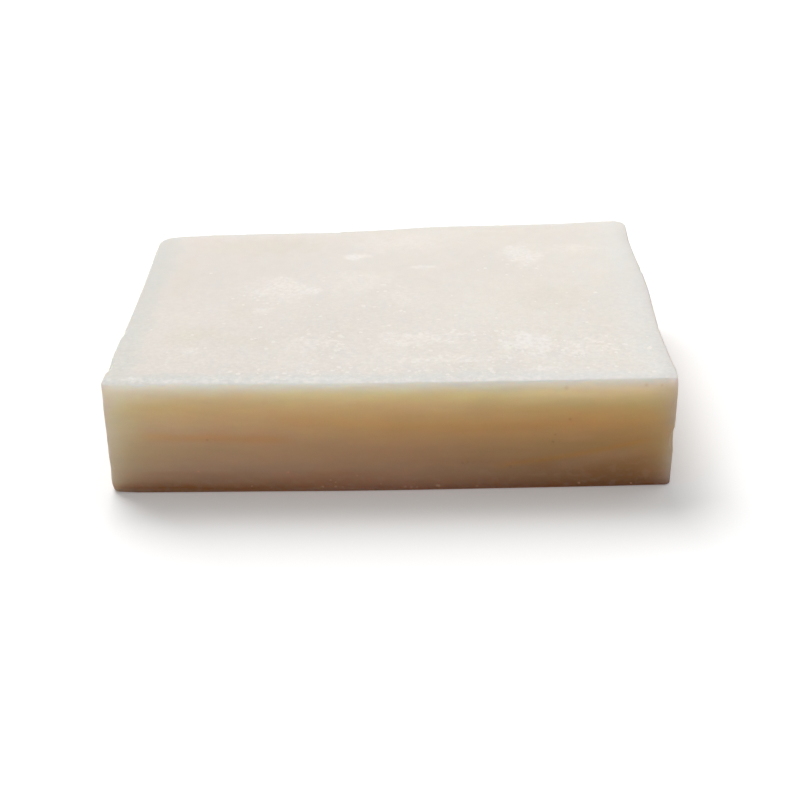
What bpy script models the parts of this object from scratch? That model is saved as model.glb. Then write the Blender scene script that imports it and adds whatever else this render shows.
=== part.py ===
"""A bar of natural soap, cut by hand from its loaf: one solid slab.

The slab lies on its flat underside. X runs along its length, one long cut
face looks towards -Y, and Z is up. The origin is on the underside, at the
middle of the bar's footprint.
"""

import math

import bmesh
import bpy
from mathutils import Matrix, Vector

MM = 0.001

# The slab between its six cuts
LENGTH = 90.5 * MM
WIDTH = 65.2 * MM
THICKNESS = 19.8 * MM

# How far the hand-made cuts run out of true. The right end is wider than the
# left, the back is thicker than the front, the top is twisted, and both end
# cuts lean to the right on their way up.
WIDER_AT_RIGHT = 4.1 * MM
THICKER_AT_BACK = 0.4 * MM
TOP_TWIST = 0.4 * MM
END_CUT_LEAN = 0.3 * MM

# Corners and rims, softened by handling and by drying
RADIUS_FRONT_LEFT = 1.05 * MM
RADIUS_FRONT_RIGHT = 1.1 * MM
RADIUS_BACK_LEFT = 3.2 * MM
RADIUS_BACK_RIGHT = 2.9 * MM
RADIUS_TOP_RIM = 0.4 * MM
RADIUS_BOTTOM_RIM = 0.4 * MM
CORNER_SEGMENTS = 6
RIM_SEGMENTS = 3

# How far each cut face bows out at its middle, or in where it is negative
FRONT_BOW_AT_FOOT = 0.55 * MM
FRONT_BOW_AT_RIM = 0.6 * MM
BACK_BOW = 0.05 * MM
LEFT_BOW = -0.4 * MM
RIGHT_BOW = -0.1 * MM

# The slow ripple that a pulled wire leaves in each face, and where it stands
# out: from the middle of the slab on the long faces, from its front on the ends
RIPPLE_PITCH = 38.0 * MM
FRONT_RIPPLE_DEPTH = 0.03 * MM
BACK_RIPPLE_DEPTH = 0.08 * MM
LEFT_RIPPLE_DEPTH = 0.03 * MM
RIGHT_RIPPLE_DEPTH = 0.25 * MM
FRONT_CREST = -2.0 * MM
BACK_CREST = 7.0 * MM
LEFT_CREST = 50.0 * MM
RIGHT_CREST = 36.0 * MM

# The top's low waves, and where along it and back from the front one stands out
TOP_WAVE_DEPTH = 0.22 * MM
TOP_WAVE_PITCH = 46.0 * MM
TOP_CREST_ALONG = 12.0 * MM
TOP_CREST_BACK = 12.0 * MM

# The chip out of the upright edge at the front right, and how much it looks to
# the front for each 1 that it looks to the right
CHIP_UP_FROM_FOOT = 8.2 * MM
CHIP_LENGTH = 4.0 * MM
CHIP_DEPTH = 0.65 * MM
CHIP_LOOKS_FORWARD = 0.45

# The two nicks in the top rim of the left end, the deeper one first
FIRST_NICK_BACK_FROM_FRONT = 7.0 * MM
FIRST_NICK_LENGTH = 5.2 * MM
FIRST_NICK_DEPTH = 0.45 * MM
SECOND_NICK_BACK_FROM_FRONT = 19.5 * MM
SECOND_NICK_LENGTH = 3.6 * MM
SECOND_NICK_DEPTH = 0.25 * MM

# The foot of the upright edge at the front left, worn rounder than the others:
# how far in it is worn, and how far the wear runs up and along from the corner
WORN_FOOT_DEPTH = 0.7 * MM
WORN_FOOT_HEIGHT = 1.6 * MM
WORN_FOOT_REACH = 4.0 * MM

# How round the hollow of a chip or nick is across its edge
HOLLOW_RADIUS = 2.2 * MM
HOLLOW_SUBDIVISIONS = 3

# The faces are cut into cells of about this size, so that they can bend
CELL = 3.0 * MM
SAME_PLACE = 0.0001 * MM
SMOOTH_BELOW = math.radians(35)

SOAP_COLOUR = (0.80, 0.74, 0.62, 1.0)
SOAP_ROUGHNESS = 0.55

# The middle of the slab is 0 along its length and 0 across its width
LEFT, RIGHT = -1, 1
FRONT, BACK = -1, 1


def width_at(side):
    """The slab's width from LEFT to RIGHT."""
    return WIDTH + side * WIDER_AT_RIGHT / 2


def thickness_at(side, end):
    """The slab's thickness at a place from LEFT to RIGHT and from FRONT to BACK."""
    return THICKNESS + end * THICKER_AT_BACK / 2 + side * end * TOP_TWIST / 2


def slab_corner(side, end, top):
    """A corner of the slab before its edges are softened."""
    x = side * LENGTH / 2 + (END_CUT_LEAN if top else 0.0)
    y = width_at(side) if end == BACK else 0.0
    z = thickness_at(side, end) if top else 0.0
    return Vector((x, y, z))


def cut_slab():
    """The slab as six straight cuts leave it, with its front face at Y = 0."""
    bm = bmesh.new()
    bmesh.ops.create_cube(bm, size=2.0)
    for vert in bm.verts:
        side, end, level = (round(c) for c in vert.co)
        vert.co = slab_corner(side, end, level > 0)
    return bm


def round_off(bm, edges, radius, segments):
    """Rounds edges to an arc of this radius."""
    bmesh.ops.bevel(
        bm,
        geom=edges,
        offset=radius,
        offset_type="OFFSET",
        segments=segments,
        profile=0.5,
        affect="EDGES",
        material=-1,
    )


def upright_edge(bm, side, end):
    """The edge that runs from the slab's foot to its top at one corner."""
    foot = slab_corner(side, end, top=False)
    head = slab_corner(side, end, top=True)

    def strays(edge):
        a, b = edge.verts
        one_way = (a.co - foot).length + (b.co - head).length
        return min(one_way, (b.co - foot).length + (a.co - head).length)

    return min(bm.edges, key=strays)


def soften_edges(bm):
    """Rounds the four upright edges, each to its own radius, and then the two rims."""
    radii = {
        (LEFT, FRONT): RADIUS_FRONT_LEFT,
        (RIGHT, FRONT): RADIUS_FRONT_RIGHT,
        (LEFT, BACK): RADIUS_BACK_LEFT,
        (RIGHT, BACK): RADIUS_BACK_RIGHT,
    }
    for (side, end), radius in radii.items():
        round_off(bm, [upright_edge(bm, side, end)], radius, CORNER_SEGMENTS)
    for up, radius in ((1, RADIUS_TOP_RIM), (-1, RADIUS_BOTTOM_RIM)):
        bm.normal_update()
        level_face = max(bm.faces, key=lambda face: up * face.normal.z)
        round_off(bm, list(level_face.edges), radius, RIM_SEGMENTS)


def stations(low, high):
    """Evenly spaced places from low to high, about a cell apart, both ends included."""
    count = max(2, round((high - low) / CELL))
    return [low + (high - low) * i / count for i in range(count + 1)]


def divide_into_cells(bm):
    """Cuts the faces into a grid, clear of the rounded corners and rims."""
    corner = max(RADIUS_FRONT_LEFT, RADIUS_FRONT_RIGHT, RADIUS_BACK_LEFT, RADIUS_BACK_RIGHT)
    clear = corner + END_CUT_LEAN + CELL / 4
    rim = max(RADIUS_TOP_RIM, RADIUS_BOTTOM_RIM) + CELL / 4
    narrowest = min(width_at(LEFT), width_at(RIGHT))
    thinnest = min(thickness_at(side, end) for side in (LEFT, RIGHT) for end in (FRONT, BACK))
    runs = (
        (Vector((1, 0, 0)), -LENGTH / 2 + clear, LENGTH / 2 - clear),
        (Vector((0, 1, 0)), clear, narrowest - clear),
        (Vector((0, 0, 1)), rim, thinnest - rim),
    )
    for across, low, high in runs:
        for place in stations(low, high):
            everything = bm.verts[:] + bm.edges[:] + bm.faces[:]
            bmesh.ops.bisect_plane(
                bm, geom=everything, dist=SAME_PLACE, plane_co=across * place, plane_no=across
            )


def from_minus_one_to_one(share):
    return min(max(share, -1.0), 1.0)


def mix(a, b, share):
    return a + (b - a) * share


def bow(share):
    """Rises from 0 at either end of a face, share -1 or 1, to 1 in its middle."""
    return math.cos(math.pi / 2 * share)


def wave(place, crest, pitch):
    return math.cos(2 * math.pi * (place - crest) / pitch)


def ripple(depth, place, crest):
    """How far the wire's ripple stands out at a place along a cut face."""
    return depth * wave(place, crest, RIPPLE_PITCH)


def drift(point):
    """How far the cuts' bow and ripple move a point of the straight slab."""
    side = from_minus_one_to_one(point.x / (LENGTH / 2))
    end = from_minus_one_to_one(2 * point.y / width_at(side) - 1)
    up = point.z / thickness_at(side, end)

    front_bow = mix(FRONT_BOW_AT_FOOT, FRONT_BOW_AT_RIM, up)
    front_out = front_bow * bow(side) + ripple(FRONT_RIPPLE_DEPTH, point.x, FRONT_CREST)
    back_out = BACK_BOW * bow(side) + ripple(BACK_RIPPLE_DEPTH, point.x, BACK_CREST)
    left_out = LEFT_BOW * bow(end) + ripple(LEFT_RIPPLE_DEPTH, point.y, LEFT_CREST)
    right_out = RIGHT_BOW * bow(end) + ripple(RIGHT_RIPPLE_DEPTH, point.y, RIGHT_CREST)
    waves_along = wave(point.x, TOP_CREST_ALONG, TOP_WAVE_PITCH)
    waves_back = wave(point.y, TOP_CREST_BACK, TOP_WAVE_PITCH)
    return Vector(
        (
            mix(-left_out, right_out, (side + 1) / 2),
            mix(-front_out, back_out, (end + 1) / 2),
            TOP_WAVE_DEPTH * waves_along * waves_back * up,
        )
    )


def worn_in(point):
    """How far the wear at the foot of the front left edge moves a point, towards the middle."""
    off = point - slab_corner(LEFT, FRONT, top=False)
    along = max(1 - math.hypot(off.x, off.y) / WORN_FOOT_REACH, 0.0)
    up = max(1 - off.z / WORN_FOOT_HEIGHT, 0.0)
    inward = Vector((RIGHT, BACK, 0)).normalized()
    return inward * WORN_FOOT_DEPTH * along**2 * up**2


def bend_faces(bm):
    """Gives the straight cuts their bow, ripple and wear. The underside stays flat."""
    for vert in bm.verts:
        vert.co += drift(vert.co) + worn_in(vert.co)


def new_object(name, bm):
    mesh = bpy.data.meshes.new(name)
    bm.to_mesh(mesh)
    bm.free()
    obj = bpy.data.objects.new(name, mesh)
    bpy.context.scene.collection.objects.link(obj)
    return obj


def on_rounded_edge(sharp_point, sides, outward, radius):
    """The point that looks outward on a rounded, bent edge.

    The sharp point is where the two faces meet that look to the sides.
    """
    rounded = sharp_point + (outward - sides) * radius
    return rounded + drift(rounded)


def hollow_cutter(name, surface_point, outward, along_edge, length, depth):
    """An egg-shaped cutter that takes a hollow of this length and depth out of an edge."""
    rise = HOLLOW_RADIUS - depth
    reach = length / 2 / math.sqrt(1 - (rise / HOLLOW_RADIUS) ** 2)
    stretch = Matrix.Diagonal((HOLLOW_RADIUS, reach, HOLLOW_RADIUS, 1.0))
    turn = Matrix((along_edge.cross(outward), along_edge, outward)).transposed().to_4x4()
    place = Matrix.Translation(surface_point + outward * rise)
    bm = bmesh.new()
    bmesh.ops.create_icosphere(
        bm, subdivisions=HOLLOW_SUBDIVISIONS, radius=1.0, matrix=place @ turn @ stretch
    )
    cutter = new_object(name, bm)
    cutter.hide_render = True
    cutter.display_type = "WIRE"
    return cutter


def edge_chip():
    """The chip at the front right, which runs up the upright edge."""
    foot = slab_corner(RIGHT, FRONT, top=False)
    head = slab_corner(RIGHT, FRONT, top=True)
    sides = Vector((RIGHT, FRONT, 0))
    outward = Vector((RIGHT, FRONT * CHIP_LOOKS_FORWARD, 0)).normalized()
    sharp_point = foot.lerp(head, CHIP_UP_FROM_FOOT / thickness_at(RIGHT, FRONT))
    middle = on_rounded_edge(sharp_point, sides, outward, RADIUS_FRONT_RIGHT)
    upwards = Vector((0, 0, 1))
    return hollow_cutter("edge_chip_cutter", middle, outward, upwards, CHIP_LENGTH, CHIP_DEPTH)


def rim_nick(name, back_from_front, length, depth):
    """A nick in the left end's top rim."""
    front_corner = slab_corner(LEFT, FRONT, top=True)
    back_corner = slab_corner(LEFT, BACK, top=True)
    sides = Vector((LEFT, 0, 1))
    outward = sides.normalized()
    sharp_point = front_corner.lerp(back_corner, back_from_front / width_at(LEFT))
    middle = on_rounded_edge(sharp_point, sides, outward, RADIUS_TOP_RIM)
    backwards = Vector((0, 1, 0))
    return hollow_cutter(name, middle, outward, backwards, length, depth)


def take_out(obj, cutter):
    cut = obj.modifiers.new(cutter.name, "BOOLEAN")
    cut.operation = "DIFFERENCE"
    cut.solver = "EXACT"
    cut.object = cutter


def footprint_middle(obj):
    xs = [vert.co.x for vert in obj.data.vertices]
    ys = [vert.co.y for vert in obj.data.vertices]
    return Vector(((min(xs) + max(xs)) / 2, (min(ys) + max(ys)) / 2, 0.0))


def soap_material():
    """Cured soap: pale ivory, with a dull, waxy surface."""
    material = bpy.data.materials.new("soap")
    material.use_nodes = True
    shader = material.node_tree.nodes["Principled BSDF"]
    shader.inputs["Base Color"].default_value = SOAP_COLOUR
    shader.inputs["Roughness"].default_value = SOAP_ROUGHNESS
    shader.inputs["Metallic"].default_value = 0.0
    return material


def make_bar():
    bm = cut_slab()
    soften_edges(bm)
    divide_into_cells(bm)
    bend_faces(bm)
    bar = new_object("soap_bar", bm)
    bar.data.shade_smooth()
    bar.data.set_sharp_from_angle(angle=SMOOTH_BELOW)
    bar.data.materials.append(soap_material())

    cutters = [
        edge_chip(),
        rim_nick(
            "first_nick_cutter", FIRST_NICK_BACK_FROM_FRONT, FIRST_NICK_LENGTH, FIRST_NICK_DEPTH
        ),
        rim_nick(
            "second_nick_cutter", SECOND_NICK_BACK_FROM_FRONT, SECOND_NICK_LENGTH, SECOND_NICK_DEPTH
        ),
    ]
    to_origin = -footprint_middle(bar)
    for piece in [bar] + cutters:
        piece.location = to_origin
    for cutter in cutters:
        take_out(bar, cutter)


for old in list(bpy.data.objects):
    bpy.data.objects.remove(old)
make_bar()
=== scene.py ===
import math
import random

import bmesh
import bpy
from mathutils import Matrix, Vector, noise
from mathutils.bvhtree import BVHTree
from mathutils.kdtree import KDTree


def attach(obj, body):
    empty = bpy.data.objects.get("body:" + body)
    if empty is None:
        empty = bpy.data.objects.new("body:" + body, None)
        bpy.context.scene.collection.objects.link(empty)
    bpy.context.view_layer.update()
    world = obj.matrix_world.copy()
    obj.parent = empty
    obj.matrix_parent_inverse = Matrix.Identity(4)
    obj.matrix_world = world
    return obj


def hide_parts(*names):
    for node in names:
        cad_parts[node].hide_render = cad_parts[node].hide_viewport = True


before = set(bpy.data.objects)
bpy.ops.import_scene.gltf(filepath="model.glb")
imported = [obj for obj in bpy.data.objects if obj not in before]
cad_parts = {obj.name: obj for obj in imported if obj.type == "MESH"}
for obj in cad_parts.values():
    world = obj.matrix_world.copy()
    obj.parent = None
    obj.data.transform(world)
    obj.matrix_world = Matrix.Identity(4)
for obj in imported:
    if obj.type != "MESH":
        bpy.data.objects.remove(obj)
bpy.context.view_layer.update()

# The bar: one slab of cold-process soap, cut from its loaf with a wire and
# left to cure. This is a merged copy of the solid with its faces divided, so
# that the crust, the pits and the worn rims stand in its own surface.
MM = 0.001
DIVISIONS = 10
LONGEST_EDGE = 0.6 * MM
LONGEST_EDGE_AT_PITS = 0.16 * MM
PIT_REACH = 0.9 * MM
UNDERSIDE_BELOW = 0.3 * MM

# Pits that bubbles left, in mm: in the front face as x, z, radius and depth,
# and in the top as x, y, radius and depth.
PITS_IN_FRONT = [
    (26.0, 8.6, 0.24, 0.05),
    (26.3, 9.9, 0.20, 0.04),
    (28.6, 12.6, 0.22, 0.05),
    (40.2, 18.3, 0.26, 0.06),
    (42.6, 18.2, 0.22, 0.05),
    (27.8, 18.2, 0.34, 0.05),
    (11.6, 5.0, 0.20, 0.04),
    (12.4, 5.2, 0.18, 0.04),
    (19.2, 4.2, 0.20, 0.04),
    (-3.2, 17.6, 0.20, 0.03),
    (-29.0, 9.8, 0.20, 0.03),
]
PITS_IN_TOP = [
    (19.7, -21.4, 0.24, 0.12),
    (18.7, -5.2, 0.22, 0.08),
    (-31.6, -15.2, 0.26, 0.08),
    (-30.0, -15.6, 0.22, 0.08),
]
FRONT_FACE_IN = 1.0
TOP_UP = 20.0


def tree_of(points):
    """A search tree that finds the nearest of some points."""
    tree = KDTree(len(points))
    for number, point in enumerate(points):
        tree.insert(point, number)
    tree.balance()
    return tree


bar_bm = bmesh.new()
bar_bm.from_mesh(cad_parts["soap_bar"].data)
bmesh.ops.remove_doubles(bar_bm, verts=bar_bm.verts, dist=0.001 * MM)
bmesh.ops.join_triangles(
    bar_bm, faces=bar_bm.faces, angle_face_threshold=0.7, angle_shape_threshold=1.4
)
front_y = min(vert.co.y for vert in bar_bm.verts)
pits = [
    ("front", Vector((x, front_y / MM + FRONT_FACE_IN, z)) * MM, radius * MM, depth * MM)
    for x, z, radius, depth in PITS_IN_FRONT
]
pits += [
    ("top", Vector((x, y, TOP_UP)) * MM, radius * MM, depth * MM)
    for x, y, radius, depth in PITS_IN_TOP
]
pit_tree = tree_of([middle for face, middle, radius, depth in pits])
for division in range(DIVISIONS):
    long_edges = []
    for edge in bar_bm.edges:
        length = edge.calc_length()
        if length < LONGEST_EDGE_AT_PITS or max(vert.co.z for vert in edge.verts) < UNDERSIDE_BELOW:
            continue
        middle = (edge.verts[0].co + edge.verts[1].co) / 2
        if length > LONGEST_EDGE or pit_tree.find(middle)[2] < PIT_REACH:
            long_edges.append(edge)
    bmesh.ops.subdivide_edges(bar_bm, edges=long_edges, cuts=1, use_grid_fill=True)
    many_sided = [face for face in bar_bm.faces if len(face.verts) > 4]
    bmesh.ops.triangulate(bar_bm, faces=many_sided)

# A knife-made corner is round and not faceted: the upright corners are eased
# along the level, and then the whole skin a little. The chip stays sharp.
CORNER_PASSES = 6
CHIP = Vector((45.0, -33.0, 8.3)) * MM
CHIP_REACH = 3.2 * MM
bar_bm.normal_update()
upright_corners = [
    vert
    for vert in bar_bm.verts
    if abs(vert.normal.z) < 0.5
    and min(abs(vert.normal.x), abs(vert.normal.y)) > 0.05
    and vert.co.z > UNDERSIDE_BELOW
    and (vert.co - CHIP).length > CHIP_REACH
]
for smoothing in range(CORNER_PASSES):
    bmesh.ops.smooth_vert(bar_bm, verts=upright_corners, factor=0.5, use_axis_x=True, use_axis_y=True)
above_underside = [vert for vert in bar_bm.verts if vert.co.z > UNDERSIDE_BELOW]
bmesh.ops.smooth_vert(
    bar_bm, verts=above_underside, factor=0.5, use_axis_x=True, use_axis_y=True, use_axis_z=True
)
bar_bm.normal_update()


def ease(low, high, value):
    """0 below low, 1 above high, and a smooth rise between."""
    share = min(max((value - low) / (high - low), 0.0), 1.0)
    return share * share * (3.0 - 2.0 * share)


def uneven(place, size, seed):
    """Smooth noise from about -1 to 1, in lumps of the given size."""
    return noise.noise(place / size + Vector((13.7 * seed, 5.1 * seed, 9.3 * seed)))


# Where the rims and the upright corners are: each point of the skin gets its
# distance from them. The corner's line is drawn on past the chip, in mm.
RIMS_ABOVE = 14.0 * MM
CORNER_PAST_CHIP = [(45.0, -33.4, 4.0 + 0.3 * step) for step in range(30)]
rim_points = {"front": [], "back": [], "left": [], "right": []}
upright_points = {"left": [], "right": []}
for vert in bar_bm.verts:
    out = vert.normal
    if 0.25 < out.z < 0.93 and vert.co.z > RIMS_ABOVE:
        if abs(out.x) > abs(out.y):
            side = "right" if out.x > 0 else "left"
        else:
            side = "back" if out.y > 0 else "front"
        rim_points[side].append(vert.co.copy())
    if abs(out.z) < 0.25 and min(abs(out.x), abs(out.y)) > 0.3 and (vert.co - CHIP).length > CHIP_REACH:
        upright_points["right" if out.x > 0 else "left"].append(vert.co.copy())
for point in CORNER_PAST_CHIP:
    upright_points["right"].append(Vector(point) * MM)
rim_trees = {side: tree_of(points) for side, points in rim_points.items()}
upright_trees = {side: tree_of(points) for side, points in upright_points.items()}

# The rims dry first: pale bands of these widths run round the top, and a narrow
# one runs down each cut face from its upper edge, which is partly dried soap and
# partly painted light, where light from the top comes out under the edge. The
# upright corners take a pale band as far round as this, partly dried and partly
# painted light and shade, and the chip's floor a little less of it.
DRIED_WIDTH = {"front": 4.6 * MM, "back": 1.6 * MM, "left": 5.5 * MM, "right": 8.5 * MM}
DRIED_STRENGTH = {"front": 1.0, "back": 0.7, "left": 0.8, "right": 0.75}
DRIED_AND_LIT_DOWN = 2.1 * MM
DRIED_LIT_SHADED_ROUND = {"left": 4.0 * MM, "right": 1.9 * MM}
DRIED_LIT_SHADED_STRENGTH = 0.85
CHIP_FLOOR = 1.4 * MM
LESS_CORNER_IN_CHIP = 0.2

# Ash and stains on the top: x, y, half width, half depth in mm, and strength.
ASH_AND_RIM_HIGHLIGHT_PATCHES = [
    (22.6, -20.0, 4.4, 4.8, 1.3),
    (24.0, 16.5, 4.8, 5.2, 0.95),
    (33.0, 20.0, 6.0, 2.4, 0.45),
    (-6.6, 17.8, 2.4, 1.6, 0.9),
    (-19.8, 3.4, 7.0, 5.5, 0.6),
    (-20.5, 4.6, 1.6, 1.2, 0.9),
    (-14.1, 1.6, 1.8, 1.4, 0.9),
    (-22.0, -6.0, 2.0, 1.6, 0.6),
    (5.0, 12.3, 3.2, 0.9, 0.9),
    (1.5, -0.5, 4.5, 4.0, 0.35),
    (11.0, -26.0, 14.0, 1.0, 0.55),
    (24.0, -29.5, 3.0, 0.9, 0.8),
    (-12.0, -18.5, 5.0, 3.0, 0.45),
    (6.0, -18.0, 9.0, 3.0, 0.60),
    (33.0, -22.0, 7.0, 4.0, 0.5),
    (-32.0, -22.0, 2.0, 1.4, 0.6),
    (2.0, 24.0, 9.0, 5.0, 0.35),
    (-6.0, 6.0, 8.0, 5.0, 0.35),
    # The last six are narrow strips along the front rim: partly ash, partly a painted highlight where the
    # rim catches the light.
    (-24.0, -32.4, 26.0, 1.5, 0.6),
    (14.0, -33.2, 22.0, 1.3, 0.8),
    (-2.0, -33.2, 12.0, 0.9, 0.6),
    (-40.5, -31.6, 2.2, 0.7, 0.9),
    (-33.0, -32.2, 4.0, 0.5, 0.9),
    (27.0, -33.0, 3.2, 0.5, 0.9),
]
STAINS = [
    (-32.5, -16.0, 5.0, 4.0, 1.0),
    (-25.0, -18.0, 6.0, 3.0, 0.5),
    (-26.0, -6.5, 3.0, 4.0, 0.5),
    (-24.0, 24.0, 12.0, 4.5, 0.8),
    (10.0, 31.0, 22.0, 1.6, 0.45),
    (19.0, 27.5, 6.0, 1.6, 0.35),
    (26.0, -3.0, 9.0, 5.5, 0.5),
    (-38.0, 8.0, 2.0, 10.0, 0.4),
]


def patch_strength(patches, place):
    """How strongly the patches cover a place on the top."""
    total = 0.0
    ragged = 0.45 * uneven(place, 3.0 * MM, 3) + 0.35 * uneven(place, 1.1 * MM, 4)
    for x, y, half_width, half_depth, strength in patches:
        across = (place.x / MM - x) / half_width
        if abs(across) > 1.8:
            continue
        along = (place.y / MM - y) / half_depth
        from_middle = math.hypot(across, along) + ragged
        total = max(total, strength * (1.0 - ease(0.35, 1.25, from_middle)))
    return total


# Veins and hazy bands in the cut faces, where the soap was poured in layers, and
# one painted highlight along the foot: the face, points in mm along the face and
# up, half thickness, and strength.
VEINS = [
    ("front", [(15.0, 4.3), (24.0, 5.2), (31.8, 6.6), (38.0, 8.0), (44.0, 9.2)], 0.45, 1.4),
    ("front", [(-42.0, 10.6), (-33.0, 10.2), (-22.0, 9.9), (-14.0, 9.7)], 0.7, 0.9),
    (
        "front",
        [(-20.0, 13.4), (-9.4, 12.8), (1.7, 11.9), (13.0, 11.2), (26.0, 12.0), (36.0, 13.0)],
        1.1,
        0.4,
    ),
    ("front", [(-14.5, 3.0), (-10.0, 3.8), (-7.0, 4.6)], 0.9, 0.35),
    ("back", [(-36.0, 6.0), (-20.0, 7.2), (-2.0, 6.4), (12.0, 4.6)], 0.5, 0.8),
    ("back", [(4.0, 12.2), (20.0, 11.4), (36.0, 11.8)], 0.8, 0.5),
    ("left", [(-28.0, 9.6), (-12.0, 8.4), (6.0, 7.0), (24.0, 6.4)], 0.5, 0.7),
    ("left", [(-10.0, 13.0), (8.0, 12.6), (22.0, 13.4)], 0.8, 0.4),
    ("right", [(-30.0, 9.3), (-16.0, 10.6), (2.0, 10.2), (20.0, 8.4)], 0.5, 0.8),
    ("right", [(-18.0, 4.6), (0.0, 4.0), (18.0, 5.2)], 0.7, 0.4),
]
HAZES_AND_FOOT_HIGHLIGHT = [
    ("front", [(24.0, 3.7), (33.0, 5.4), (43.0, 7.4)], 1.1, 0.8),
    # This one is a painted highlight: a pale line low along the left of the foot, where its rim catches
    # the light.
    ("front", [(-44.8, 0.4), (-37.0, 0.2)], 0.5, 1.4),
    ("front", [(26.5, 8.9), (29.5, 9.0), (33.5, 9.3)], 0.45, 0.8),
    ("front", [(-34.0, 6.5), (-12.0, 6.8)], 1.6, 0.35),
    ("back", [(-30.0, 3.4), (-8.0, 3.8), (14.0, 2.6)], 1.3, 0.5),
    ("left", [(-20.0, 4.6), (10.0, 3.4)], 1.4, 0.5),
    ("right", [(-24.0, 7.0), (8.0, 7.4)], 1.2, 0.5),
]
LONGEST_FADE = 5.0


def face_of(out):
    """The cut face that a skin point belongs to, from the way that it looks."""
    if abs(out.x) > abs(out.y):
        return "right" if out.x > 0 else "left"
    return "back" if out.y > 0 else "front"


def line_strength(lines, face, along, up):
    """How strongly the lines drawn on a cut face cover a place on it."""
    total = 0.0
    for line_face, points, half_thickness, strength in lines:
        if line_face != face:
            continue
        for (x_0, z_0), (x_1, z_1) in zip(points, points[1:]):
            share = (along - x_0) / (x_1 - x_0)
            if not 0.0 <= share < 1.0:
                continue
            off = abs(up - (z_0 + (z_1 - z_0) * share)) / half_thickness
            start, end = points[0][0], points[-1][0]
            fade = min(LONGEST_FADE, (end - start) / 3.0)
            faded = ease(start, start + fade, along) * (1.0 - ease(end - fade, end + 0.1, along))
            total = max(total, strength * faded * math.exp(-off * off))
    return total


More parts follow.
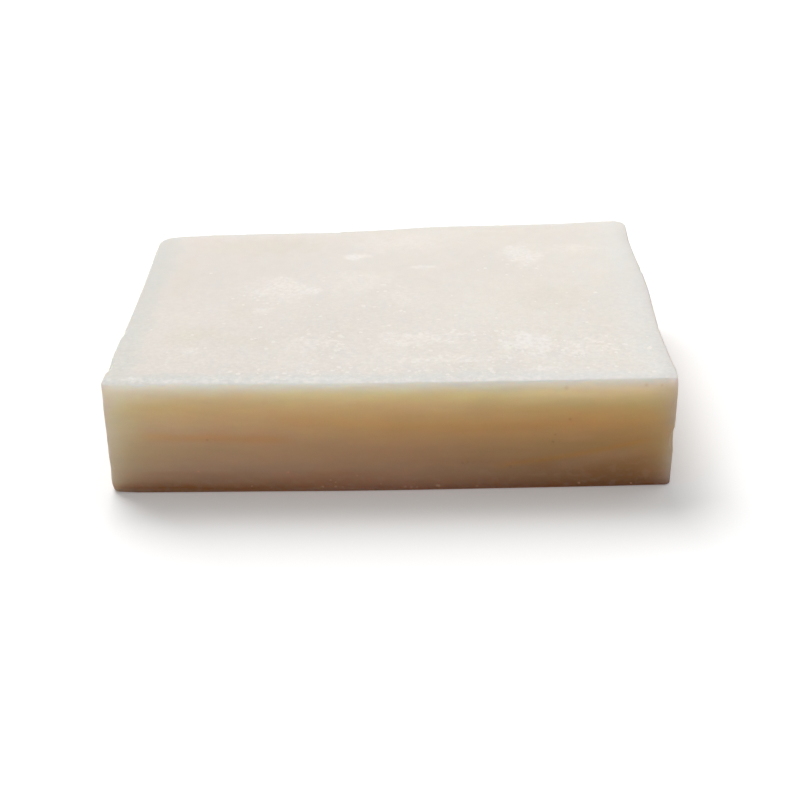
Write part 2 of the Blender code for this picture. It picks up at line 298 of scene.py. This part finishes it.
# The skin's own relief, cut inwards from the solid: the crust's grain, marks
# of the dragged wire, bites and waves in the rims and corners, and the pits.
CRUST_RELIEF = 0.045 * MM
SMOOTHEST_CRUST = 0.12
DRAG_RELIEF = 0.012 * MM
RIM_WEAR = 0.10 * MM
RIM_WEAR_REACH = 0.9 * MM
RIM_WAVE = 0.14 * MM
RIM_WAVE_REACH = 2.0 * MM
CORNER_WAVE = 0.11 * MM
CORNER_WAVE_REACH = 2.4 * MM
layers = bar_bm.verts.layers.float
dried_and_lit_layer = layers.new("dried")
end_layer = layers.new("end")
ash_and_highlight_layer = layers.new("ash")
stain_layer = layers.new("stain")
vein_layer = layers.new("vein")
haze_and_highlight_layer = layers.new("haze_and_highlight")
top_layer = layers.new("top")
pit_layer = layers.new("pit")
moves = []
for vert in bar_bm.verts:
    place = vert.co.copy()
    out = vert.normal.copy()
    is_top = ease(0.90, 0.995, out.z)
    from_rim = {side: tree.find(place)[2] for side, tree in rim_trees.items()}
    nearest_rim = min(from_rim.values())
    from_upright = {side: tree.find(place)[2] for side, tree in upright_trees.items()}
    ragged = 1.0 + 0.30 * uneven(place, 5.0 * MM, 1) + 0.22 * uneven(place, 1.3 * MM, 2)
    dried_top = max(
        DRIED_STRENGTH[side] * (1.0 - ease(0.25, 1.0, ragged * from_rim[side] / DRIED_WIDTH[side]))
        for side in from_rim
    )
    # The strip below each cut face's upper edge: dried soap and painted light.
    dried_and_lit_down = 1.0 - ease(0.05, 1.0, ragged * nearest_rim / DRIED_AND_LIT_DOWN)
    # The band round the upright corners: some drying, with painted light and shade.
    dried_lit_shaded_round = max(
        DRIED_LIT_SHADED_STRENGTH * math.exp(-ragged * from_upright[side] / DRIED_LIT_SHADED_ROUND[side])
        for side in from_upright
    )
    in_chip = 1.0 - ease(CHIP_FLOOR, CHIP_REACH, (place - CHIP).length)
    vert[top_layer] = is_top
    vert[dried_and_lit_layer] = is_top * dried_top + (1.0 - is_top) * dried_and_lit_down
    vert[end_layer] = (1.0 - is_top) * dried_lit_shaded_round * (1.0 - LESS_CORNER_IN_CHIP * in_chip)
    if is_top > 0.0:
        vert[ash_and_highlight_layer] = is_top * patch_strength(ASH_AND_RIM_HIGHLIGHT_PATCHES, place)
        vert[stain_layer] = is_top * patch_strength(STAINS, place)
    if is_top < 1.0:
        face = face_of(out)
        along = (place.x if face in ("front", "back") else place.y) / MM
        wander = 0.35 * uneven(place, 6.0 * MM, 5)
        up = place.z / MM + wander
        vert[vein_layer] = (1.0 - is_top) * line_strength(VEINS, face, along, up)
        vert[haze_and_highlight_layer] = (1.0 - is_top) * line_strength(HAZES_AND_FOOT_HIGHLIGHT, face, along, up)

    rougher = SMOOTHEST_CRUST + (1.0 - SMOOTHEST_CRUST) * (1.0 - ease(-26.0 * MM, 12.0 * MM, place.y))
    crust = 0.5 + 0.5 * (0.5 * uneven(place, 2.6 * MM, 6) + 0.8 * uneven(place, 1.2 * MM, 7))
    stretched = Vector((place.x * 0.05, place.y * 0.05, place.z))
    drag = 0.5 + 0.5 * uneven(stretched, 0.8 * MM, 8)
    near_rim = 1.0 - ease(0.0, RIM_WEAR_REACH, nearest_rim)
    bite = ease(0.05, 0.75, 0.6 * uneven(place, 1.6 * MM, 9) + 0.4 * uneven(place, 0.7 * MM, 10))
    depth = is_top * CRUST_RELIEF * rougher * crust + (1.0 - is_top) * DRAG_RELIEF * drag
    depth += RIM_WEAR * near_rim * bite
    by_rim = 1.0 - ease(0.0, RIM_WAVE_REACH, nearest_rim)
    depth += RIM_WAVE * by_rim * (0.5 + 0.5 * uneven(place, 7.0 * MM, 11))
    near_corner = 1.0 - ease(0.0, CORNER_WAVE_REACH, min(from_upright.values()))
    depth += CORNER_WAVE * near_corner * ease(-0.2, 0.8, uneven(place, 2.4 * MM, 12))
    nearest, pit_number, from_pit = pit_tree.find(place)
    if from_pit < PIT_REACH:
        pit_face, pit_middle, pit_radius, pit_depth = pits[pit_number]
        if pit_face == "front":
            off = math.hypot(place.x - pit_middle.x, place.z - pit_middle.z) / pit_radius
        else:
            off = math.hypot(place.x - pit_middle.x, place.y - pit_middle.y) / pit_radius
        vert[pit_layer] = math.exp(-off * off)
        depth += pit_depth * math.exp(-off * off)
    if place.z > UNDERSIDE_BELOW:
        moves.append((vert, place - out * depth))
for vert, moved in moves:
    vert.co = moved

bar_mesh = bpy.data.meshes.new("soap_bar_skin")
bar_bm.to_mesh(bar_mesh)
bar_mesh.shade_smooth()
bar = bpy.data.objects.new("soap_bar_skin", bar_mesh)
bpy.context.scene.collection.objects.link(bar)
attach(bar, "root")
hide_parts("soap_bar")

# Its finish: cream rims, dried and in part painted light, a chalky rose-beige
# crust on top, and waxy cut faces that pass light. Colours come with their height
# above the foot in mm. The cut faces' colours hold painted light and shade too:
# paler to the left with painted light from the lit left end, darker and more
# orange to the right where that end is in shade, darker and browner near the foot
# as painted shade, and brighter again in the lowest band as a painted highlight
# on the foot's rim.
CUT_AT_LEFT = [
    (0.1, (0.720, 0.450, 0.220)),
    (0.6, (0.623, 0.312, 0.100)),
    (4.0, (0.747, 0.660, 0.531)),
    (8.0, (0.723, 0.674, 0.526)),
    (12.0, (0.764, 0.713, 0.617)),
    (15.5, (0.748, 0.697, 0.538)),
    (18.0, (0.729, 0.690, 0.596)),
]
CUT_IN_MIDDLE = [
    (0.1, (0.880, 0.610, 0.430)),
    (0.6, (0.766, 0.465, 0.302)),
    (4.0, (0.703, 0.556, 0.400)),
    (8.0, (0.712, 0.605, 0.417)),
    (12.0, (0.744, 0.669, 0.438)),
    (15.5, (0.776, 0.707, 0.566)),
    (18.0, (0.762, 0.756, 0.551)),
]
CUT_AT_RIGHT = [
    (0.1, (0.620, 0.310, 0.140)),
    (0.6, (0.500, 0.250, 0.100)),
    (4.0, (0.551, 0.395, 0.207)),
    (8.0, (0.642, 0.540, 0.281)),
    (12.0, (0.725, 0.618, 0.354)),
    (15.5, (0.693, 0.671, 0.490)),
    (18.0, (0.811, 0.758, 0.624)),
]
# The strip below the upper edge, partly dried soap and partly painted light
# coming out under the edge, with its last millimetres at the right paler still,
# as painted light.
DRIED_AND_LIT_CUT_AT_LEFT = (0.715, 0.748, 0.686)
DRIED_AND_LIT_CUT_AT_RIGHT = (0.658, 0.662, 0.605)
DRIED_AND_LIT_RIGHT_END = (0.860, 0.850, 0.805)
# The upright corners, partly dried and partly painted light and shade: the front
# left one pale with painted light that comes through the lit left end, the front
# right one cooler, and darker in its middle, as painted shade. The two front ones
# by height, and the back ones.
FRONT_CORNER_AT_LEFT = [
    (1.0, (0.510, 0.475, 0.430)),
    (5.0, (0.525, 0.614, 0.567)),
    (10.0, (0.641, 0.750, 0.692)),
    (17.0, (0.742, 0.868, 0.802)),
]
FRONT_CORNER_AT_RIGHT = [
    (1.0, (0.558, 0.447, 0.426)),
    (5.0, (0.500, 0.545, 0.505)),
    (10.0, (0.500, 0.520, 0.480)),
    (17.0, (0.676, 0.700, 0.602)),
]
BACK_CORNER_AT_LEFT = (0.710, 0.690, 0.615)
BACK_CORNER_AT_RIGHT = (0.680, 0.620, 0.520)
VEIN = (0.76, 0.49, 0.12)
VEIN_STRENGTH = 0.28
HAZE_AND_HIGHLIGHT = (0.80, 0.66, 0.52)
HAZE_AND_HIGHLIGHT_STRENGTH = 0.35
SMEAR_STRENGTH = 0.30
PIT_SHADE = (0.45, 0.34, 0.22)
PIT_STRENGTH = 0.35
# The crust and its dried rims are darker to the left: painted shade against the extra light there from
# the left window.
CRUST_AT_LEFT = (0.710, 0.662, 0.611)
CRUST_AT_RIGHT = (0.766, 0.723, 0.664)
DRIED_CRUST_AT_LEFT = (0.613, 0.622, 0.576)
DRIED_CRUST_AT_RIGHT = (0.763, 0.752, 0.715)
DRIED_CRUST_STRENGTH = 0.85
STAIN = (0.680, 0.628, 0.525)
STAIN_STRENGTH = 0.5
ASH = (0.860, 0.815, 0.775)
ASH_STRENGTH = 0.85
FLECK_STRENGTH = 0.42
LIGHT_REACH = 22.0 * MM
LIGHT_REACH_BY_COLOUR = (1.0, 0.75, 0.55)
GRAIN_HEIGHT = 0.02 * MM

soap = bpy.data.materials.new("soap")
soap.use_nodes = True
tree = soap.node_tree
shader = tree.nodes["Principled BSDF"]
object_place = tree.nodes.new("ShaderNodeTexCoord").outputs["Object"]


def spread(value, low, high, to_low, to_high):
    """A value's range low..high stretched to to_low..to_high, and held there."""
    node = tree.nodes.new("ShaderNodeMapRange")
    for name, number in zip(("From Min", "From Max", "To Min", "To Max"), (low, high, to_low, to_high)):
        node.inputs[name].default_value = number
    tree.links.new(value, node.inputs["Value"])
    return node.outputs["Result"]


def worked(operation, a, b):
    """Two values added or multiplied, where b may be a plain number."""
    node = tree.nodes.new("ShaderNodeMath")
    node.operation = operation
    for socket, value in zip(node.inputs, (a, b)):
        if isinstance(value, float):
            socket.default_value = value
        else:
            tree.links.new(value, socket)
    return node.outputs["Value"]


def mixed(factor, a, b):
    """One colour over another, by a factor from 0 to 1."""
    node = tree.nodes.new("ShaderNodeMix")
    node.data_type = "RGBA"
    tree.links.new(factor, node.inputs["Factor"])
    for name, colour in (("A", a), ("B", b)):
        if isinstance(colour, tuple):
            node.inputs[name].default_value = (*colour, 1.0)
        else:
            tree.links.new(colour, node.inputs[name])
    return node.outputs["Result"]


def shaded(colour, strength):
    """A colour made lighter or darker."""
    node = tree.nodes.new("ShaderNodeVectorMath")
    node.operation = "SCALE"
    tree.links.new(colour, node.inputs[0])
    tree.links.new(strength, node.inputs["Scale"])
    return node.outputs["Vector"]


def clouds(size, detail, roughness, stretch=(1.0, 1.0, 1.0)):
    """Noise in lumps of about the given size in metres, from 0 to 1."""
    mapping = tree.nodes.new("ShaderNodeMapping")
    mapping.inputs["Scale"].default_value = stretch
    tree.links.new(object_place, mapping.inputs["Vector"])
    node = tree.nodes.new("ShaderNodeTexNoise")
    node.inputs["Scale"].default_value = 1.0 / size
    node.inputs["Detail"].default_value = detail
    node.inputs["Roughness"].default_value = roughness
    tree.links.new(mapping.outputs["Vector"], node.inputs["Vector"])
    return node.outputs["Fac"]


def painted(name):
    """A value that was painted on the skin's points above."""
    node = tree.nodes.new("ShaderNodeAttribute")
    node.attribute_name = name
    return node.outputs["Fac"]


def banded(height, bands):
    """One colour running into the next at the heights given with them."""
    low, colour = bands[0]
    for high, next_colour in bands[1:]:
        colour = mixed(spread(height, low * MM, high * MM, 0.0, 1.0), colour, next_colour)
        low = high
    return colour


# The cut faces: the layers' colours, which wave a little and hold painted light
# and shade, then veins, hazes with a painted highlight at the foot, smears of soap
# at the foot, the corners and upper strip, partly dried and partly painted light
# and shade, and the pits.
top = painted("top")
# The pale rims: dried soap, and below the cut faces' upper edge painted light too.
dried = painted("dried")
axes = tree.nodes.new("ShaderNodeSeparateXYZ")
tree.links.new(object_place, axes.inputs["Vector"])
to_right = spread(axes.outputs["X"], -40.0 * MM, 40.0 * MM, 0.0, 1.0)
left_half = spread(axes.outputs["X"], -34.0 * MM, 2.0 * MM, 0.0, 1.0)
right_half = spread(axes.outputs["X"], 2.0 * MM, 38.0 * MM, 0.0, 1.0)
right_end = spread(axes.outputs["X"], 43.4 * MM, 45.2 * MM, 0.0, 1.0)
to_back = spread(axes.outputs["Y"], -24.0 * MM, 0.0, 0.0, 1.0)
layer_waves = clouds(3.0 * MM, 2.0, 0.5, (0.10, 0.10, 1.0))
height_wavy = worked("ADD", axes.outputs["Z"], spread(layer_waves, 0.3, 0.7, -0.8 * MM, 0.8 * MM))

cut = mixed(left_half, banded(height_wavy, CUT_AT_LEFT), banded(height_wavy, CUT_IN_MIDDLE))
cut = mixed(right_half, cut, banded(height_wavy, CUT_AT_RIGHT))
cut = mixed(worked("MULTIPLY", painted("vein"), VEIN_STRENGTH), cut, VEIN)
# Pale hazes, and low at the left of the foot a painted highlight.
cut = mixed(worked("MULTIPLY", painted("haze_and_highlight"), HAZE_AND_HIGHLIGHT_STRENGTH), cut, HAZE_AND_HIGHLIGHT)
fine_grain = clouds(0.7 * MM, 3.0, 0.6)
# The upper strip's colour: partly dried soap, partly painted light.
dried_and_lit_cut = mixed(to_right, DRIED_AND_LIT_CUT_AT_LEFT, DRIED_AND_LIT_CUT_AT_RIGHT)
dried_and_lit_cut = mixed(right_end, dried_and_lit_cut, DRIED_AND_LIT_RIGHT_END)
cut = mixed(spread(fine_grain, 0.60, 0.80, 0.0, 0.12), cut, dried_and_lit_cut)
near_foot = spread(axes.outputs["Z"], 7.0 * MM, 2.0 * MM, 0.0, 1.0)
smears = spread(clouds(1.0 * MM, 2.0, 0.5, (0.6, 0.6, 1.0)), 0.50, 0.72, 0.0, SMEAR_STRENGTH)
cut = mixed(worked("MULTIPLY", smears, near_foot), cut, HAZE_AND_HIGHLIGHT)
# The corners' colours: painted light at the front left, painted shade at the front right, over some
# drying.
corner = mixed(
    to_right, banded(height_wavy, FRONT_CORNER_AT_LEFT), banded(height_wavy, FRONT_CORNER_AT_RIGHT)
)
corner = mixed(to_back, corner, mixed(to_right, BACK_CORNER_AT_LEFT, BACK_CORNER_AT_RIGHT))
cut = mixed(painted("end"), cut, corner)
cut = mixed(dried, cut, dried_and_lit_cut)
cut = mixed(worked("MULTIPLY", painted("pit"), PIT_STRENGTH), cut, PIT_SHADE)
drag_lines = clouds(1.3 * MM, 3.0, 0.55, (0.22, 0.22, 1.0))
cut = shaded(cut, spread(drag_lines, 0.3, 0.7, 0.976, 1.024))

# The crust on top: its colours, darker to the left as painted shade against the
# extra light there from the left window, then stains, the dried rims, ash in
# patches and in flecks, more of them to the front, and a fine mottle.
across_crust = worked("ADD", to_right, spread(clouds(22.0 * MM, 2.0, 0.5), 0.3, 0.7, -0.15, 0.15))
crust = mixed(spread(across_crust, 0.0, 0.9, 0.0, 1.0), CRUST_AT_LEFT, CRUST_AT_RIGHT)
crust = mixed(worked("MULTIPLY", painted("stain"), STAIN_STRENGTH), crust, STAIN)
mottle = clouds(2.4 * MM, 3.0, 0.55)
dried_crust = mixed(to_right, DRIED_CRUST_AT_LEFT, DRIED_CRUST_AT_RIGHT)
crust = mixed(worked("MULTIPLY", dried, DRIED_CRUST_STRENGTH), crust, dried_crust)
specks = clouds(0.8 * MM, 2.0, 0.5)
# Ash in patches, and along the front rim partly a painted highlight.
ash_and_highlight_here = worked("MULTIPLY", painted("ash"), spread(specks, 0.35, 0.65, 0.45, 1.15))
crust = mixed(spread(ash_and_highlight_here, 0.0, 1.2, 0.0, ASH_STRENGTH), crust, ASH)
to_front = spread(axes.outputs["Y"], 14.0 * MM, -26.0 * MM, 0.0, 1.0)
rougher_to_front = spread(to_front, 0.0, 1.0, 0.15, 1.0)
flecks = spread(clouds(0.60 * MM, 1.0, 0.5), 0.58, 0.74, 0.0, FLECK_STRENGTH)
flecks = worked("MULTIPLY", flecks, spread(axes.outputs["X"], -38.0 * MM, -8.0 * MM, 0.35, 1.0))
crust = mixed(worked("MULTIPLY", flecks, to_front), crust, ASH)
spotted = worked("MULTIPLY", spread(specks, 0.3, 0.7, -0.04, 0.04), rougher_to_front)
crust = shaded(crust, worked("ADD", spread(mottle, 0.3, 0.7, 0.975, 1.015), spotted))
tree.links.new(mixed(top, cut, crust), shader.inputs["Base Color"])

# Waxy where it was cut and dull where it has crusted over.
roughness = tree.nodes.new("ShaderNodeMix")
tree.links.new(top, roughness.inputs["Factor"])
tree.links.new(spread(fine_grain, 0.3, 0.7, 0.38, 0.50), roughness.inputs["A"])
tree.links.new(spread(mottle, 0.3, 0.7, 0.62, 0.78), roughness.inputs["B"])
tree.links.new(roughness.outputs["Result"], shader.inputs["Roughness"])
shader.inputs["Subsurface Radius"].default_value = LIGHT_REACH_BY_COLOUR
shader.inputs["Subsurface Scale"].default_value = LIGHT_REACH
shader.inputs["Subsurface Anisotropy"].default_value = 0.8
tree.links.new(spread(top, 0.0, 1.0, 1.0, 0.25), shader.inputs["Subsurface Weight"])

bump = tree.nodes.new("ShaderNodeBump")
bump.inputs["Distance"].default_value = GRAIN_HEIGHT
bump.inputs["Strength"].default_value = 1.0
finest = clouds(0.25 * MM, 2.0, 0.5)
bumps = worked("ADD", worked("MULTIPLY", specks, 0.6), worked("MULTIPLY", finest, 0.4))
bumps = worked("MULTIPLY", bumps, rougher_to_front)
tree.links.new(worked("MULTIPLY", bumps, spread(top, 0.0, 1.0, 0.3, 1.0)), bump.inputs["Height"])
tree.links.new(bump.outputs["Normal"], shader.inputs["Normal"])
bar_mesh.materials.append(soap)

# Grains of soda ash: small white crystals that grow on the top as it cures,
# thickest near the front right, with a few crumbs left at the front's foot.

# Fields of grains on the top: x, y, half width, half depth in mm, and how many
# are tried. Crumbs on the front face: x, z and size in mm.
GRAIN_FIELDS = [
    (33.0, -22.0, 8.0, 4.0, 46),
    (22.6, -20.0, 4.5, 4.5, 30),
    (8.0, -18.0, 11.0, 3.0, 46),
    (-10.0, -18.5, 5.0, 4.0, 30),
    (14.0, -26.5, 20.0, 1.6, 34),
    (24.0, 14.0, 6.0, 6.0, 18),
    (-18.0, 3.0, 9.0, 6.0, 20),
    (0.0, -12.0, 40.0, 20.0, 90),
    (0.0, -29.5, 40.0, 1.6, 50),
]
CRUMBS = [
    (7.6, 0.9, 0.42), (2.3, 0.8, 0.30), (3.3, 0.7, 0.26), (4.2, 0.7, 0.24), (-16.5, 3.7, 0.30),
    (-8.9, 1.0, 0.28), (-8.9, 1.8, 0.22), (-7.8, 0.9, 0.22), (-9.7, 2.2, 0.24), (-11.0, 1.0, 0.26),
    (-5.4, 3.0, 0.24), (-1.6, 1.4, 0.20), (-30.9, 4.0, 0.22), (13.9, 0.7, 0.24), (30.3, 0.9, 0.30),
    (38.7, 0.6, 0.24), (-22.5, 1.2, 0.18),
]
ABOVE_BAR = 25.0
BEFORE_BAR = -60.0
FLAT_ENOUGH = 0.97
CRUMB_DEPTH = 0.7
CRUMB_HEIGHT = 0.12
CRYSTAL_AT_LEFT = (0.78, 0.74, 0.69)
CRYSTAL_AT_RIGHT = (0.86, 0.82, 0.77)
CRUMB_AT_LEFT = (0.95, 0.70, 0.54)
CRUMB_AT_RIGHT = (0.76, 0.50, 0.36)

# A grain is the cap of a ball of radius 1, sunk so far that this much of it
# stands out. The ball is cut off a little lower, so that no gap can show.
SUNK = 0.8
CAP_HALF_WIDTH = 0.6
CAP_HEIGHT = 0.2
CUT_OFF_BELOW = 0.5
random.seed(19)
skin = BVHTree.FromBMesh(bar_bm)
grains_bm = bmesh.new()


def set_grain(spot, out, wide, deep, high):
    """One flat crystal, set where it grows and square to the skin there."""
    spin = Matrix.Rotation(random.uniform(-0.6, 0.6), 4, "Z")
    stand = out.to_track_quat("Z", "Y").to_matrix().to_4x4()
    shape = Matrix.Diagonal((wide / CAP_HALF_WIDTH, deep / CAP_HALF_WIDTH, high / CAP_HEIGHT, 1.0))
    centre = spot - out * SUNK * high / CAP_HEIGHT
    made = bmesh.ops.create_icosphere(grains_bm, subdivisions=2, radius=1.0)["verts"]
    below = [vert for vert in made if vert.co.z < CUT_OFF_BELOW]
    bmesh.ops.delete(grains_bm, geom=below, context="VERTS")
    made = [vert for vert in made if vert.is_valid]
    for vert in made:
        vert.co *= 1.0 + random.uniform(-0.03, 0.03)
    bmesh.ops.transform(grains_bm, matrix=Matrix.Translation(centre) @ stand @ spin @ shape, verts=made)


for x, y, half_width, half_depth, count in GRAIN_FIELDS:
    for number in range(count):
        start = Vector((random.gauss(x, half_width / 2), random.gauss(y, half_depth / 2), ABOVE_BAR)) * MM
        wide = random.uniform(0.20, 0.50) * MM
        deep = wide * random.uniform(0.6, 1.0)
        spot, out = skin.ray_cast(start, Vector((0.0, 0.0, -1.0)))[:2]
        if spot is None or out.z < FLAT_ENOUGH:
            continue
        set_grain(spot, out, wide, deep, random.uniform(0.02, 0.05) * MM)
for x, z, size in CRUMBS:
    spot, out = skin.ray_cast(Vector((x, BEFORE_BAR, z)) * MM, Vector((0.0, 1.0, 0.0)))[:2]
    set_grain(spot, out, size * MM, size * CRUMB_DEPTH * MM, CRUMB_HEIGHT * size * MM)
bar_bm.free()
bmesh.ops.recalc_face_normals(grains_bm, faces=grains_bm.faces)

grains_mesh = bpy.data.meshes.new("ash_grains")
grains_bm.to_mesh(grains_mesh)
grains_bm.free()
grains_mesh.shade_smooth()
grains = bpy.data.objects.new("ash_grains", grains_mesh)
bpy.context.scene.collection.objects.link(grains)
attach(grains, "root")
ash = bpy.data.materials.new("soda_ash")
ash.use_nodes = True
tree = ash.node_tree
shader = tree.nodes["Principled BSDF"]
object_place = tree.nodes.new("ShaderNodeTexCoord").outputs["Object"]
axes = tree.nodes.new("ShaderNodeSeparateXYZ")
tree.links.new(object_place, axes.inputs["Vector"])
to_right = spread(axes.outputs["X"], -40.0 * MM, 40.0 * MM, 0.0, 1.0)
is_crystal = spread(axes.outputs["Z"], 10.0 * MM, 12.0 * MM, 0.0, 1.0)
crystal = mixed(to_right, CRYSTAL_AT_LEFT, CRYSTAL_AT_RIGHT)
crumb = mixed(to_right, CRUMB_AT_LEFT, CRUMB_AT_RIGHT)
tree.links.new(mixed(is_crystal, crumb, crystal), shader.inputs["Base Color"])
tree.links.new(spread(clouds(0.3 * MM, 2.0, 0.5), 0.3, 0.7, 0.60, 0.85), shader.inputs["Roughness"])
grains_mesh.materials.append(ash)

# The floor is plain and pale, and white further off. It is so for the camera
# alone: the light that it throws back on the bar is warmer and weaker.
FLOOR_SEEN = (0.93, 0.93, 0.93)
FLOOR_IN_GLOSS = (0.80, 0.74, 0.68)
FLOOR_FOR_LIGHT = (0.46, 0.26, 0.12)
GLOW_SEEN_NEAR = (0.16, 0.16, 0.16)
GLOW_SEEN_FAR = (1.0, 1.0, 1.0)
GLOW_FOR_LIGHT = (0.046, 0.018, 0.007)
floor_bm = bmesh.new()
bmesh.ops.create_grid(floor_bm, x_segments=1, y_segments=1, size=3.0)
floor_mesh = bpy.data.meshes.new("floor")
floor_bm.to_mesh(floor_mesh)
floor_bm.free()
floor = bpy.data.objects.new("floor", floor_mesh)
bpy.context.scene.collection.objects.link(floor)
pale_floor = bpy.data.materials.new("pale_floor")
pale_floor.use_nodes = True
tree = pale_floor.node_tree
floor_shader = tree.nodes["Principled BSDF"]
floor_shader.inputs["Roughness"].default_value = 0.9
floor_shader.inputs["Specular IOR Level"].default_value = 0.0
rays = tree.nodes.new("ShaderNodeLightPath")
floor_unseen = mixed(rays.outputs["Is Glossy Ray"], FLOOR_FOR_LIGHT, FLOOR_IN_GLOSS)
floor_colour = mixed(rays.outputs["Is Camera Ray"], floor_unseen, FLOOR_SEEN)
tree.links.new(floor_colour, floor_shader.inputs["Base Color"])
floor_place = tree.nodes.new("ShaderNodeTexCoord").outputs["Object"]
far = tree.nodes.new("ShaderNodeVectorMath")
far.operation = "LENGTH"
tree.links.new(floor_place, far.inputs[0])
far_off = spread(far.outputs["Value"], 60.0 * MM, 300.0 * MM, 0.0, 1.0)
glow_seen = mixed(far_off, GLOW_SEEN_NEAR, GLOW_SEEN_FAR)
floor_glow = mixed(rays.outputs["Is Camera Ray"], GLOW_FOR_LIGHT, glow_seen)
tree.links.new(floor_glow, floor_shader.inputs["Emission Color"])
floor_shader.inputs["Emission Strength"].default_value = 1.0
floor_mesh.materials.append(pale_floor)


# The light: one large soft window behind the bar and to its left, a weaker one
# at its right, and a dim room all round. The room shows white to the camera.
def soft_window(name, place, size, power):
    """A square white lamp that shines on the bar."""
    lamp = bpy.data.lights.new(name, "AREA")
    lamp.shape = "SQUARE"
    lamp.size = size
    lamp.energy = power
    light = bpy.data.objects.new(name, lamp)
    light.location = place
    light.rotation_euler = (-Vector(place)).to_track_quat("-Z", "Y").to_euler()
    bpy.context.scene.collection.objects.link(light)


ROOM_LIGHT = 0.30
soft_window("window", place=(-0.55, 1.08, 1.55), size=1.3, power=34.0)
soft_window("second_window", place=(0.70, 0.50, 1.60), size=1.0, power=4.5)

world = bpy.data.worlds.new("studio")
bpy.context.scene.world = world
world.use_nodes = True
tree = world.node_tree
rays = tree.nodes.new("ShaderNodeLightPath")
air = tree.nodes["Background"]
air.inputs["Color"].default_value = (1.0, 1.0, 1.0, 1.0)
tree.links.new(spread(rays.outputs["Is Camera Ray"], 0.0, 1.0, ROOM_LIGHT, 1.0), air.inputs["Strength"])

# The camera stands where the photograph was taken from.
CAMERA_PLACE = (0.00593, -0.23532, 0.12235)
TURNED = 1.173
LOOKING_DOWN = 27.690
TILTED = -1.436
camera_data = bpy.data.cameras.new("camera")
camera_data.lens = 65.5
camera_data.sensor_width = 36.0
camera = bpy.data.objects.new("camera", camera_data)
bpy.context.scene.collection.objects.link(camera)
bpy.context.scene.camera = camera
camera.matrix_world = (
    Matrix.Translation(CAMERA_PLACE)
    @ Matrix.Rotation(math.radians(TURNED), 4, "Z")
    @ Matrix.Rotation(math.radians(90 - LOOKING_DOWN), 4, "X")
    @ Matrix.Rotation(math.radians(TILTED), 4, "Z")
)
bpy.context.scene.view_settings.view_transform = "Standard"
